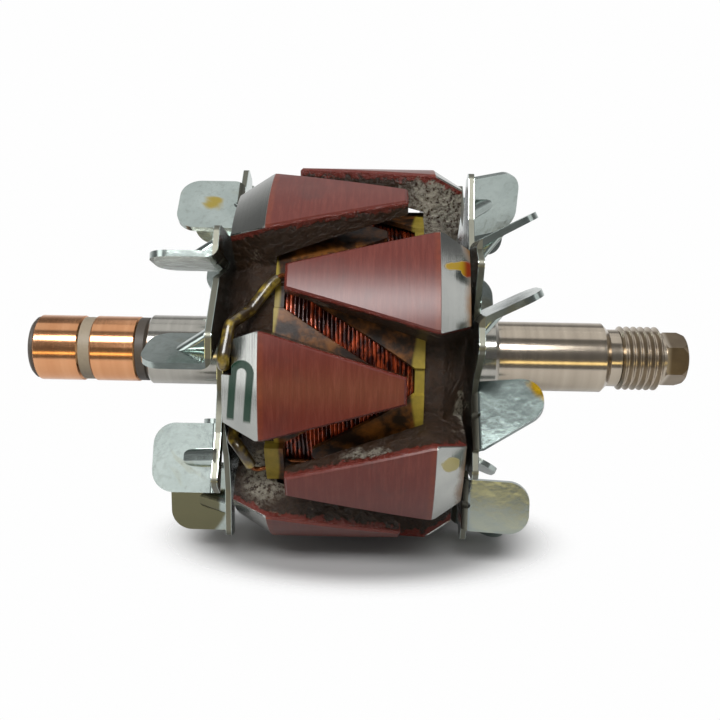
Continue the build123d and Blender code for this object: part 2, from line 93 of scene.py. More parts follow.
# The inspection mark: the middle of its bow, the bow's radius, the stroke's length below the bow
# and half its thickness, and how far it leans
stroke_x = -49.75 * MM
stroke_z = 2.4 * MM
stroke_radius = 1.65 * MM
stroke_length = 8.9 * MM
stroke_half_thickness = 0.725 * MM
stroke_lean = 0.09

# Places of stains, flakes and painted light in millimetres, judged from the photograph.
# Drops on the near front shoulders: middle along X and Z, then half their width and height
shoulder_drops = ((-11.6, 21.6, 2.9, 1.2), (-9.9, 20.8, 1.4, 1.5), (-12.2, -14.6, 2.3, 2.2))
# Pale patches in the valleys, partly silvery flakes of dried varnish and partly painted glints on
# it: middle and radius
flake_and_glint_patches = ((-46.0, -21.0, 13.0, 6.0), (-47.5, -24.0, -20.0, 7.0), (-12.0, -12.0, 33.0, 11.0))
# Patches on the blades: middle, radius and colour. The three dull ones are painted shade, darkening
# blades
# # that mirror dark surroundings; the small amber one on a rear blade's rib is a painted golden
# reflection;
# # the last is an amber patch at the tip of a front blade
blade_shade_and_glint_patches = (
    (0.0, -30.0, -6.0, 10.5, "#77827f"),
    (0.0, -19.5, -28.0, 10.5, "#868f8e"),
    (-66.0, -15.6, -32.0, 9.5, "#66644e"),
    (-60.6, -0.8, 30.4, 3.1, "#a8964e"),
    (5.8, -30.0, -0.5, 4.6, "#a0801c"),
)

# The floor, and the oval of it under the rotor that the camera sees, greyed in the middle as
# painted shadow
floor_reach = 0.3
floor_near_edge = -0.075
floor_drop = 0.0002
oval_half_length = 0.053
oval_half_width = 0.0355

# Lamps: name, place, width, height, power in watts and colour
lamps = (
    ("key_lamp", (-0.12, -0.56, 0.48), 0.50, 0.18, 5.6, "#ffffff"),
    ("left_lamp", (-0.60, -0.35, 0.10), 0.3, 0.5, 1.0, "#ffffff"),
    ("right_lamp", (0.58, -0.16, 0.33), 0.3, 0.4, 0.35, "#ffffff"),
    ("back_lamp", (0.0, 0.30, 0.60), 0.6, 0.3, 0.4, "#ffffff"),
    ("top_lamp", (-0.03, -0.03, 0.69), 0.8, 0.4, 0.8, "#ffffff"),
    ("blade_lamp", (-0.20, -0.62, 0.205), 0.09, 0.14, 0.06, "#ffffff"),
    ("low_lamp", (-0.05, -0.58, -0.11), 0.6, 0.07, 0.42, "#ffe49c"),
)

# The world: how bright the metal mirrors the backdrop and the room, and how much light it sheds
backdrop_white = 1.0
room_grey = 0.17
room_light = 0.32

# The photograph's camera, found from the circles of the rotor
camera_distance = 193.0 * MM
camera_aim_x = -29.5 * MM
camera_yaw = 1.042
camera_elevation = 9.8
camera_roll = 0.93
camera_focal = 44.0
axis_above_centre = 7 / 720

# Kinds of node that the finishes use most
MATH = "ShaderNodeMath"
RANGE = "ShaderNodeMapRange"
NOISE = "ShaderNodeTexNoise"
MIX = "ShaderNodeMix"
VECTOR = "ShaderNodeVectorMath"
BUMP = "ShaderNodeBump"
SMOOTH = "SMOOTHSTEP"

# A pattern's scale is a count to the millimetre, so 4 / MM has grains a quarter of one apart.
# Outputs that are asked for by number: a mix of colours, a vector's measure, object coordinates.
# Inputs by number: a mix has its factor at 0, numbers at 2 and 3, and colours at 6 and 7;
# a map range turns 1 to 2 into 3 to 4.
COLOUR = 2
MEASURE = 1
OBJECT = 3


def linear(code):
    """A colour written as an sRGB hex value, in linear light."""
    parts = [int(code[i:i + 2], 16) / 255 for i in (1, 3, 5)]
    light = [c / 12.92 if c <= 0.04045 else ((c + 0.055) / 1.055) ** 2.4 for c in parts]
    return (*light, 1.0)


def add(tree, kind, inputs=None, out=0, **settings):
    """Adds a node, sets and links it, and gives an output. A text value is a hex colour."""
    node = tree.nodes.new(kind)
    for key, value in settings.items():
        setattr(node, key, value)
    for key, value in (inputs or {}).items():
        if isinstance(value, bpy.types.NodeSocket):
            tree.links.new(value, node.inputs[key])
        else:
            node.inputs[key].default_value = linear(value) if isinstance(value, str) else value
    return node.outputs[out]


class Finish:
    """A new material with the rotor's own coordinates: x along the shaft and r away from it.
    A pattern on along makes rings round the shaft, and one on around makes streaks round it."""

    def __init__(self, name):
        self.material = bpy.data.materials.new(name)
        self.material.use_nodes = True
        self.tree = self.material.node_tree
        self.shader = self.tree.nodes["Principled BSDF"]
        t = self.tree
        self.place = add(t, "ShaderNodeTexCoord", out=OBJECT)
        split = add(t, "ShaderNodeSeparateXYZ", {0: self.place}).node
        self.x, self.y, self.z = split.outputs
        across = add(t, VECTOR, {0: self.place, 1: (0, 1, 1)}, operation="MULTIPLY")
        self.r = add(t, VECTOR, {0: across}, MEASURE, operation="LENGTH")
        self.along = add(t, VECTOR, {0: self.place, 1: (1, 0, 0)}, operation="MULTIPLY")
        stretched = (1, streak_squeeze, streak_squeeze)
        self.around = add(t, VECTOR, {0: self.place, 1: stretched}, operation="MULTIPLY")

    def set(self, values):
        """Sets or links the shader's sockets by their names; a text value is a hex colour."""
        for name, value in values.items():
            socket = self.shader.inputs[name]
            if isinstance(value, bpy.types.NodeSocket):
                self.tree.links.new(value, socket)
            else:
                socket.default_value = linear(value) if isinstance(value, str) else value


def ground_steel():
    """Medium-carbon steel with fine ground rings: grey by the slip rings, warmer on the drive end,
    duller on the thread and oily brown on the nose."""
    f = Finish("ground steel")
    t = f.tree
    # Real grinding rings are too fine to show, so these are drawn a quarter of a millimetre apart
    rings = add(t, NOISE, {"Vector": f.along, "Scale": 4 / MM, "Detail": 4.0, "Roughness": 0.7})
    bands = add(t, NOISE, {"Vector": f.along, "Scale": 0.4 / MM, "Detail": 2.0})
    blotch = add(t, NOISE, {"Vector": f.place, "Scale": 0.17 / MM, "Detail": 4.0, "Roughness": 0.6})
    drive = add(t, RANGE, {0: f.x, 1: -1 * MM, 2: 1 * MM}, interpolation_type=SMOOTH)
    thread = add(t, RANGE, {0: f.x, 1: thread_x - 0.5 * MM, 2: thread_x + 0.5 * MM},
                 interpolation_type=SMOOTH)
    nose = add(t, RANGE, {0: f.x, 1: nose_x - 0.5 * MM, 2: nose_x + 0.5 * MM},
               interpolation_type=SMOOTH)
    tone = add(t, MIX, {0: bands, 6: "#8f8d86", 7: "#bdbab2"}, COLOUR, data_type="RGBA")
    warm = add(t, MIX, {0: bands, 6: "#968c7e", 7: "#c6baa9"}, COLOUR, data_type="RGBA")
    colour = add(t, MIX, {0: drive, 6: tone, 7: warm}, COLOUR, data_type="RGBA")
    oiled = add(t, MIX, {0: blotch, 6: "#54463a", 7: "#8a7c66"}, COLOUR, data_type="RGBA")
    colour = add(t, MIX, {0: nose, 6: colour, 7: oiled}, COLOUR, data_type="RGBA")
    seat_rough = add(t, RANGE, {0: rings, 3: 0.12, 4: 0.22})
    rough = add(t, MIX, {0: thread, 2: seat_rough, 3: 0.28})
    bump = add(t, BUMP, {"Height": rings, "Distance": 0.004 * MM})
    f.set({"Base Color": colour, "Metallic": 1.0, "Roughness": rough, "Normal": bump})
    return f.material


def slip_ring_copper():
    """Hard copper, polished by a lathe tool: bright fine rings, browner tarnish between them."""
    f = Finish("slip ring copper")
    t = f.tree
    # Real polishing rings are too fine to show, so these are drawn a third of a millimetre apart
    rings = add(t, NOISE, {"Vector": f.along, "Scale": 3 / MM, "Detail": 4.0, "Roughness": 0.7})
    bands = add(t, NOISE, {"Vector": f.along, "Scale": 0.33 / MM, "Detail": 2.0})
    colour = add(t, MIX, {0: bands, 6: "#b87748", 7: "#e8b288"}, COLOUR, data_type="RGBA")
    rough = add(t, RANGE, {0: rings, 3: 0.10, 4: 0.24})
    bump = add(t, BUMP, {"Height": rings, "Distance": 0.015 * MM})
    f.set({"Base Color": colour, "Metallic": 1.0, "Roughness": rough, "Normal": bump})
    return f.material


def moulded_phenolic():
    """Phenolic moulding compound, finely grained: matt grey-brown between the rings, darker at
    both ends."""
    f = Finish("moulded phenolic")
    t = f.tree
    # The filler's grain, drawn coarse enough to show
    grain = add(t, NOISE, {"Vector": f.place, "Scale": 2.5 / MM, "Detail": 4.0, "Roughness": 0.7})
    away = add(t, MATH, {0: f.x, 1: rings_middle_x}, operation="SUBTRACT")
    away = add(t, MATH, {0: away}, operation="ABSOLUTE")
    ends = add(t, RANGE, {0: away, 1: rings_half_span - 0.5 * MM, 2: rings_half_span + 0.5 * MM},
               interpolation_type=SMOOTH)
    plain = add(t, MIX, {0: grain, 6: "#74695a", 7: "#948873"}, COLOUR, data_type="RGBA")
    dark = add(t, MIX, {0: grain, 6: "#2e2822", 7: "#4a4239"}, COLOUR, data_type="RGBA")
    colour = add(t, MIX, {0: ends, 6: plain, 7: dark}, COLOUR, data_type="RGBA")
    bump = add(t, BUMP, {"Height": grain, "Distance": 0.02 * MM})
    f.set({"Base Color": colour, "Roughness": 0.5, "Normal": bump})
    return f.material


def green_stroke(f, near):
    """Where the bowed stroke of green marker lies on the shoulder of the near rear claw."""
    t = f.tree
    z = add(t, MATH, {0: f.z, 1: stroke_z}, operation="SUBTRACT")
    x = add(t, MATH, {0: f.x, 1: stroke_x}, operation="SUBTRACT")
    x = add(t, MATH, {0: z, 1: -stroke_lean, 2: x}, operation="MULTIPLY_ADD")
    bow = add(t, MATH, {0: z, 1: 0.0}, operation="MAXIMUM")
    spot = add(t, "ShaderNodeCombineXYZ", {0: x, 1: bow})
    reach = add(t, VECTOR, {0: spot}, MEASURE, operation="LENGTH")
    off = add(t, MATH, {0: reach, 1: stroke_radius}, operation="SUBTRACT")
    off = add(t, MATH, {0: off}, operation="ABSOLUTE")
    outer = stroke_half_thickness + 0.125 * MM
    inner = stroke_half_thickness - 0.125 * MM
    ink = add(t, RANGE, {0: off, 1: outer, 2: inner}, interpolation_type=SMOOTH)
    foot = add(t, RANGE, {0: z, 1: -stroke_length - 0.3 * MM, 2: -stroke_length + 0.3 * MM})
    ink = add(t, MATH, {0: ink, 1: foot}, operation="MULTIPLY")
    return add(t, MATH, {0: ink, 1: near}, operation="MULTIPLY")


def painted_forging():
    """Forged steel poles: red oxide primer on the turned rim, bare ground shoulders, and brown
    impregnating varnish, thick and wrinkled, on the claws' sides and in the valleys."""
    f = Finish("painted forging")
    t = f.tree
    lines = add(t, NOISE, {"Vector": f.along, "Scale": 1.7 / MM, "Detail": 3.0, "Roughness": 0.7})
    streaks = add(t, NOISE, {"Vector": f.around, "Scale": 1.3 / MM, "Detail": 4, "Roughness": 0.7})
    cloud = add(t, NOISE, {"Vector": f.place, "Scale": 0.13 / MM, "Detail": 4.0, "Roughness": 0.55})
    crinkle = add(t, NOISE, {"Vector": f.place, "Scale": 0.62 / MM, "Detail": 6, "Roughness": 0.66})
    low = add(t, MATH, {0: rear_edge_x, 1: f.x}, operation="SUBTRACT")
    high = add(t, MATH, {0: f.x, 1: front_edge_x}, operation="SUBTRACT")
    beyond = add(t, MATH, {0: low, 1: high}, operation="MAXIMUM")
    past = add(t, MATH, {0: beyond, 1: 0.0}, operation="MAXIMUM")
    skin_r = add(t, MATH, {0: past, 1: bevel_slope, 2: f.r}, operation="MULTIPLY_ADD")
    skin = add(t, RANGE, {0: skin_r, 1: rotor_radius - 0.40 * MM, 2: rotor_radius - 0.2 * MM},
               interpolation_type=SMOOTH)
    ragged = add(t, MATH, {0: crinkle, 1: 5.0 * MM, 2: skin_r}, operation="MULTIPLY_ADD")
    lip = add(t, RANGE, {0: ragged, 1: rotor_radius + 0.8 * MM, 2: rotor_radius + 1.5 * MM},
              interpolation_type=SMOOTH)
    shoulder = add(t, RANGE, {0: beyond, 1: 0.05 * MM, 2: 0.2 * MM}, interpolation_type=SMOOTH)
    bead = add(t, RANGE, {0: beyond, 1: -1.3 * MM, 2: -0.5 * MM}, interpolation_type=SMOOTH)

    # Primer, darkest in the tool's grooves and thick along its border
    paint = add(t, MIX, {0: lines, 6: "#42110a", 7: "#622318"}, COLOUR, data_type="RGBA")
    pale = add(t, RANGE, {0: streaks, 1: 0.45, 2: 0.8, 4: 0.28})
    paint = add(t, MIX, {0: pale, 6: paint, 7: "#86483c"}, COLOUR, data_type="RGBA")
    soot = add(t, RANGE, {0: cloud, 1: 0.58, 2: 0.75, 4: 0.35})
    paint = add(t, MIX, {0: soot, 6: paint, 7: "#3a2220"}, COLOUR, data_type="RGBA")
    thick = add(t, MIX, {0: crinkle, 6: "#44170e", 7: "#75301a"}, COLOUR, data_type="RGBA")
    paint = add(t, MIX, {0: bead, 6: paint, 7: thick}, COLOUR, data_type="RGBA")

    # Bare shoulders with grinding marks, varnish creeping over them from the fan
    bare = add(t, MIX, {0: cloud, 6: "#8d908e", 7: "#b9bab5"}, COLOUR, data_type="RGBA")
    stain = add(t, MATH, {0: cloud, 1: 4 * MM, 2: high}, operation="MULTIPLY_ADD")
    stain = add(t, RANGE, {0: stain, 1: 6.2 * MM, 2: 8.2 * MM}, interpolation_type=SMOOTH)
    bare = add(t, MIX, {0: stain, 6: bare, 7: "#6b4a24"}, COLOUR, data_type="RGBA")
    bare_metal = add(t, MATH, {0: 1.0, 1: stain}, operation="SUBTRACT")

    # The inspection mark
    near = add(t, MATH, {0: f.y, 1: 0.0}, operation="LESS_THAN")
    covered = green_stroke(f, near)
    bare = add(t, MIX, {0: covered, 6: bare, 7: "#002a19"}, COLOUR, data_type="RGBA")

    # A drop of amber varnish, burnt at its end, and a pale smear on the two near front shoulders
    burnt = add(t, RANGE, {0: f.x, 1: -11.0 * MM, 2: -9.6 * MM}, interpolation_type=SMOOTH)
    burnt = add(t, MIX, {0: burnt, 6: "#8f7416", 7: "#6e260e"}, COLOUR, data_type="RGBA")
    for (x, z, wide, tall), shade in zip(shoulder_drops, (burnt, burnt, "#a39a68")):
        spot = add(t, VECTOR, {0: f.place, 1: (x * MM, 0, z * MM)}, operation="SUBTRACT")
        flat = (1 / (wide * MM), 0, 1 / (tall * MM))
        spot = add(t, VECTOR, {0: spot, 1: flat}, operation="MULTIPLY")
        reach = add(t, VECTOR, {0: spot}, MEASURE, operation="LENGTH")
        reach = add(t, MATH, {0: cloud, 1: 1.6, 2: reach}, operation="MULTIPLY_ADD")
        drop = add(t, RANGE, {0: reach, 1: 1.75, 2: 1.5}, interpolation_type=SMOOTH)
        drop = add(t, MATH, {0: drop, 1: near}, operation="MULTIPLY")
        bare = add(t, MIX, {0: drop, 6: bare, 7: shade}, COLOUR, data_type="RGBA")
        covered = add(t, MATH, {0: covered, 1: drop}, operation="MAXIMUM")
    open_share = add(t, RANGE, {0: covered, 1: 0.7, 2: 0.4})
    bare_metal = add(t, MATH, {0: bare_metal, 1: open_share}, operation="MULTIPLY")

    # Varnish in the valleys, with pale metallic flakes that stand partly for varnish dried silver
    # over the steel and partly for painted glints
    flake_and_glint = add(t, RANGE, {0: cloud, 1: 0.60, 2: 0.70}, interpolation_type=SMOOTH)
    for x, y, z, size in flake_and_glint_patches:
        middle = (x * MM, y * MM, z * MM)
        spot = add(t, VECTOR, {0: f.place, 1: middle}, MEASURE, operation="DISTANCE")
        lump = add(t, RANGE, {0: spot, 1: size * MM, 2: 0.5 * size * MM}, interpolation_type=SMOOTH)
        flake_and_glint = add(t, MATH, {0: flake_and_glint, 1: lump}, operation="MAXIMUM")
    grit = add(t, NOISE, {"Vector": f.place, "Scale": 1.3 / MM, "Detail": 5.0, "Roughness": 0.7})
    fleck = add(t, RANGE, {0: grit, 1: 0.40, 2: 0.64})
    flake_and_glint = add(t, MATH, {0: flake_and_glint, 1: fleck}, operation="MULTIPLY")
    varnish = add(t, MIX, {0: crinkle, 6: "#120b07", 7: "#3a2616"}, COLOUR, data_type="RGBA")
    varnish = add(t, MIX, {0: flake_and_glint, 6: varnish, 7: "#a9a496"}, COLOUR, data_type="RGBA")
    varnish = add(t, MIX, {0: lip, 6: varnish, 7: "#5e2118"}, COLOUR, data_type="RGBA")

    skin_colour = add(t, MIX, {0: shoulder, 6: paint, 7: bare}, COLOUR, data_type="RGBA")
    colour = add(t, MIX, {0: skin, 6: varnish, 7: skin_colour}, COLOUR, data_type="RGBA")
    metal = add(t, MATH, {0: shoulder, 1: bare_metal}, operation="MULTIPLY")
    metal = add(t, MATH, {0: metal, 1: skin}, operation="MULTIPLY")
    open_steel = add(t, RANGE, {0: skin, 3: 0.7, 4: 0.0})
    open_steel = add(t, MATH, {0: open_steel, 1: flake_and_glint}, operation="MULTIPLY")
    metal = add(t, MATH, {0: metal, 1: open_steel}, operation="MAXIMUM")
    skin_rough = add(t, RANGE, {0: shoulder, 3: 0.33, 4: 0.22})
    rough = add(t, RANGE, {0: skin, 3: 0.13, 4: skin_rough})
    depth = add(t, MIX, {0: skin, 2: crinkle, 3: lines})
    strength = add(t, RANGE, {0: skin, 3: 1.0, 4: 0.04})
    bump = add(t, BUMP, {"Height": depth, "Distance": 1.3 * MM, "Strength": strength})
    f.set({"Base Color": colour, "Metallic": metal, "Roughness": rough, "Normal": bump})
    f.set({"Specular IOR Level": 0.45})
    return f.material


def zinc_plated_sheet():
    """Pressed sheet steel, bright zinc plated: pale blue-grey with clouds and amber runs of
    varnish, dull where it was sheared, and with patches of painted shade and a painted golden glint
    on some blades."""
    f = Finish("zinc plated sheet")
    t = f.tree
    cloud = add(t, NOISE, {"Vector": f.place, "Scale": 0.11 / MM, "Detail": 4.0, "Roughness": 0.55})
    marks = add(t, NOISE, {"Vector": f.place, "Scale": 0.9 / MM, "Detail": 4.0, "Roughness": 0.6})
    runs = add(t, NOISE, {"Vector": f.place, "Scale": 0.075 / MM, "Detail": 3.0, "Distortion": 1.5})
    colour = add(t, MIX, {0: cloud, 6: "#87938f", 7: "#c2ccc8"}, COLOUR, data_type="RGBA")
    worn = add(t, RANGE, {0: marks, 1: 0.52, 2: 0.8, 4: 0.4})
    colour = add(t, MIX, {0: worn, 6: colour, 7: "#767a70"}, COLOUR, data_type="RGBA")
    amber = add(t, RANGE, {0: runs, 1: 0.61, 2: 0.76, 4: 0.35}, interpolation_type=SMOOTH)
    colour = add(t, MIX, {0: amber, 6: colour, 7: "#8f7f3c"}, COLOUR, data_type="RGBA")
    # Painted shade and a painted golden reflection on some blades, and an amber patch at a front
    # blade's tip
    for x, y, z, size, shade in blade_shade_and_glint_patches:
        middle = (x * MM, y * MM, z * MM)
        spot = add(t, VECTOR, {0: f.place, 1: middle}, MEASURE, operation="DISTANCE")
        spot = add(t, MATH, {0: runs, 1: 6 * MM, 2: spot}, operation="MULTIPLY_ADD")
        spot = add(t, RANGE, {0: spot, 1: (size + 3.0) * MM, 2: (size + 1.8) * MM},
                   interpolation_type=SMOOTH)
        colour = add(t, MIX, {0: spot, 6: colour, 7: shade}, COLOUR, data_type="RGBA")

    # The discs' sheared edges, duller than the sheet's faces
    rear = add(t, MATH, {0: f.x, 1: rear_disc_x, 2: sheared_half}, operation="COMPARE")
    front = add(t, MATH, {0: f.x, 1: front_disc_x, 2: sheared_half}, operation="COMPARE")
    sheared = add(t, MATH, {0: rear, 1: front}, operation="MAXIMUM")
    colour = add(t, MIX, {0: sheared, 6: colour, 7: "#6e6e64"}, COLOUR, data_type="RGBA")
    satin = add(t, RANGE, {0: cloud, 3: 0.13, 4: 0.25})
    rough = add(t, MIX, {0: sheared, 2: satin, 3: 0.45})
    height = add(t, MATH, {0: marks, 1: 0.02, 2: cloud}, operation="MULTIPLY_ADD")
    bump = add(t, BUMP, {"Height": height, "Distance": 0.25 * MM, "Strength": 0.6})
    f.set({"Base Color": colour, "Metallic": 1.0, "Roughness": rough, "Normal": bump})
    return f.material


def amber_nylon():
    """Moulded nylon soaked in varnish: dark amber-brown leaves, yellow where a claw's tip meets a
    flange."""
    f = Finish("amber nylon")
    t = f.tree
    runs = add(t, NOISE, {"Vector": f.place, "Scale": 0.33 / MM, "Detail": 4.0, "Roughness": 0.6})
    wet = add(t, RANGE, {0: runs, 1: 0.4, 2: 0.72}, interpolation_type=SMOOTH)
    leaf = add(t, MIX, {0: wet, 6: "#1e1108", 7: "#704418"}, COLOUR, data_type="RGBA")
    bright = add(t, MIX, {0: runs, 6: "#5c4a16", 7: "#ab9a3c"}, COLOUR, data_type="RGBA")

    # The yellow ends swing along the shaft six times round it, as the claws do
    back = add(t, MATH, {0: f.y, 1: -1.0}, operation="MULTIPLY")
    angle = add(t, MATH, {0: f.z, 1: back}, operation="ARCTAN2")
    six = add(t, MATH, {0: angle, 1: 6.0}, operation="MULTIPLY")
    wave = add(t, MATH, {0: six}, operation="COSINE")
    low = add(t, MATH, {0: rear_yellow_x, 1: f.x}, operation="SUBTRACT")
    low = add(t, MATH, {0: wave, 1: -yellow_swing, 2: low}, operation="MULTIPLY_ADD")
    high = add(t, MATH, {0: f.x, 1: front_yellow_x}, operation="SUBTRACT")
    high = add(t, MATH, {0: wave, 1: yellow_swing, 2: high}, operation="MULTIPLY_ADD")
    end = add(t, MATH, {0: low, 1: high}, operation="MAXIMUM")
    yellow = add(t, RANGE, {0: end, 1: 0.4 * MM, 2: 1.1 * MM, 4: 0.85}, interpolation_type=SMOOTH)
    colour = add(t, MIX, {0: yellow, 6: leaf, 7: bright}, COLOUR, data_type="RGBA")
    bump = add(t, BUMP, {"Height": runs, "Distance": 0.2 * MM, "Strength": 0.7})
    f.set({"Base Color": colour, "Roughness": 0.45, "Specular IOR Level": 0.3, "Normal": bump})
    return f.material


def enamelled_winding():
    """Enamelled copper wire bonded with dark red varnish: glossy, with painted orange glints on
    each turn.
    """
    f = Finish("enamelled winding")
    t = f.tree
    wrapped = add(t, VECTOR, {0: f.place, 1: (1, 0.3, 0.3)}, operation="MULTIPLY")
    patch = add(t, NOISE, {"Vector": wrapped, "Scale": 0.8 / MM, "Detail": 4.0, "Roughness": 0.65})
    # Painted highlights: bright orange patches along the turns stand for glints of light on the
    # wires
    painted_glint = add(t, RANGE, {0: patch, 1: 0.42, 2: 0.68}, interpolation_type=SMOOTH)
    colour = add(t, MIX, {0: painted_glint, 6: "#2e0c08", 7: "#c2522a"}, COLOUR, data_type="RGBA")
    bump = add(t, BUMP, {"Height": patch, "Distance": 0.12 * MM})
    f.set({"Base Color": colour, "Metallic": 0.5, "Roughness": 0.2, "Normal": bump})
    f.set({"Coat Weight": 0.4})
    return f.material


def enamelled_lead():
    """Enamelled copper wire, bare of varnish: orange and glossy."""
    f = Finish("enamelled lead")
    patch = add(f.tree, NOISE, {"Vector": f.place, "Scale": 0.6 / MM, "Detail": 3.0})
    colour = add(f.tree, MIX, {0: patch, 6: "#4c2612", 7: "#8a4f22"}, COLOUR, data_type="RGBA")
    f.set({"Base Color": colour, "Metallic": 0.7, "Roughness": 0.25})
    return f.material


def yellow_sleeving():
    """Varnished glass-fibre sleeving: woven, ochre, browner and glossy where varnish soaked in."""
    f = Finish("yellow sleeving")
    t = f.tree
    weave = add(t, NOISE, {"Vector": f.place, "Scale": 2.2 / MM, "Detail": 2.0})
    soak = add(t, NOISE, {"Vector": f.place, "Scale": 0.33 / MM, "Detail": 3.0, "Roughness": 0.6})
    dry = add(t, RANGE, {0: soak, 1: 0.44, 2: 0.74}, interpolation_type=SMOOTH)
    colour = add(t, MIX, {0: dry, 6: "#2c200e", 7: "#98822e"}, COLOUR, data_type="RGBA")
    bump = add(t, BUMP, {"Height": weave, "Distance": 0.08 * MM, "Strength": 0.6})
    f.set({"Base Color": colour, "Roughness": 0.3, "Coat Weight": 0.4, "Normal": bump})
    return f.material


def tinned_copper():
    """Tinned copper clip flooded with solder: soft bright grey."""
    f = Finish("tinned copper")
    flow = add(f.tree, NOISE, {"Vector": f.place, "Scale": 0.8 / MM, "Detail": 3.0})
    colour = add(f.tree, MIX, {0: flow, 6: "#8f8f8c", 7: "#c8c8c4"}, COLOUR, data_type="RGBA")
    f.set({"Base Color": colour, "Metallic": 1.0, "Roughness": 0.3})
    return f.material


def turned_core():
    """Turned low-carbon steel, dull under varnish."""
    f = Finish("turned core steel")
    rings = add(f.tree, NOISE, {"Vector": f.along, "Scale": 2 / MM, "Detail": 3.0})
    colour = add(f.tree, MIX, {0: rings, 6: "#4a4742", 7: "#6c6860"}, COLOUR, data_type="RGBA")
    f.set({"Base Color": colour, "Metallic": 0.8, "Roughness": 0.4})
    return f.material


def dress(node_name, material):
    """Gives a CAD node its finish."""
    slots = nodes[node_name].data.materials
    slots.clear()
    slots.append(material)


# The field coil: its outer layer is drawn turn by turn, inside the CAD solid
def winding_tree(material):
    """A geometry tree that lays rings of wire side by side along the shaft."""
    tree = bpy.data.node_groups.new("winding turns", "GeometryNodeTree")
    for name in ("Turn radius", "Wire radius", "Pitch"):
        tree.interface.new_socket(name, in_out="INPUT", socket_type="NodeSocketFloat")
    tree.interface.new_socket("Turns", in_out="INPUT", socket_type="NodeSocketInt")
    tree.interface.new_socket("Geometry", in_out="OUTPUT", socket_type="NodeSocketGeometry")
    sizes = tree.nodes.new("NodeGroupInput").outputs
    circle = "GeometryNodeCurvePrimitiveCircle"
    path = add(tree, circle, {"Resolution": turn_segments, "Radius": sizes["Turn radius"]})
    wire = add(tree, circle, {"Resolution": 8, "Radius": sizes["Wire radius"]})
    turn = add(tree, "GeometryNodeCurveToMesh", {"Curve": path, "Profile Curve": wire})
    quarter_turn = (0, math.pi / 2, 0)
    upright = add(tree, "GeometryNodeTransform", {"Geometry": turn, "Rotation": quarter_turn})
    step = add(tree, "ShaderNodeCombineXYZ", {"X": sizes["Pitch"]})
    row = add(tree, "GeometryNodeMeshLine", {"Count": sizes["Turns"], "Offset": step})
    turns = add(tree, "GeometryNodeInstanceOnPoints", {"Points": row, "Instance": upright})
    shade = add(tree, "GeometryNodeSetShadeSmooth", {0: turns})
    real = add(tree, "GeometryNodeRealizeInstances", {0: shade})
    done = add(tree, "GeometryNodeSetMaterial", {"Geometry": real, "Material": material})
    tree.links.new(done, tree.nodes.new("NodeGroupOutput").inputs[0])
    return tree


def grown(name, tree, values):
    """The plain mesh that a geometry tree makes from these values, as an object."""
    holder = bpy.data.objects.new(name + "_holder", bpy.data.meshes.new(name + "_seed"))
    bpy.context.collection.objects.link(holder)
    modifier = holder.modifiers.new("tree", "NODES")
    modifier.node_group = tree
    for item in tree.interface.items_tree:
        if item.in_out == "INPUT" and item.name in values:
            modifier[item.identifier] = values[item.name]
    holder.update_tag()
    graph = bpy.context.evaluated_depsgraph_get()
    mesh = bpy.data.meshes.new_from_object(holder.evaluated_get(graph))
    holder.modifiers.remove(modifier)
    bpy.data.objects.remove(holder)
    piece = bpy.data.objects.new(name, mesh)
    bpy.context.collection.objects.link(piece)
    return piece


def make_winding(material):
    """The coil's outer layer of turns over a plain body, in place of the CAD coil."""
    low, high = coil_box
    length = high[0] - low[0]
    turns = int(length / wire_dia)
    pitch = length / turns
    piece = grown("winding_turns", winding_tree(material), {
        "Turn radius": coil_radius - wire_dia / 2,
        "Wire radius": pitch / 2,
        "Pitch": pitch,
        "Turns": turns,
    })
    mesh = bmesh.new()
    mesh.from_mesh(piece.data)
    bmesh.ops.translate(mesh, verts=mesh.verts, vec=(low[0] + pitch / 2, 0, 0))
    body_radius = coil_radius - wire_dia / 2
    body = bmesh.ops.create_cone(
        mesh, cap_ends=True, segments=turn_segments, radius1=body_radius, radius2=body_radius,
        depth=length - pitch,
    )
    quarter_turn = Quaternion((0, 1, 0), math.pi / 2).to_matrix()
    bmesh.ops.rotate(mesh, verts=body["verts"], cent=(0, 0, 0), matrix=quarter_turn)
    bmesh.ops.translate(mesh, verts=body["verts"], vec=((low[0] + high[0]) / 2, 0, 0))
    mesh.to_mesh(piece.data)
    mesh.free()
    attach(piece, "root")
    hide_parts("field_coil")


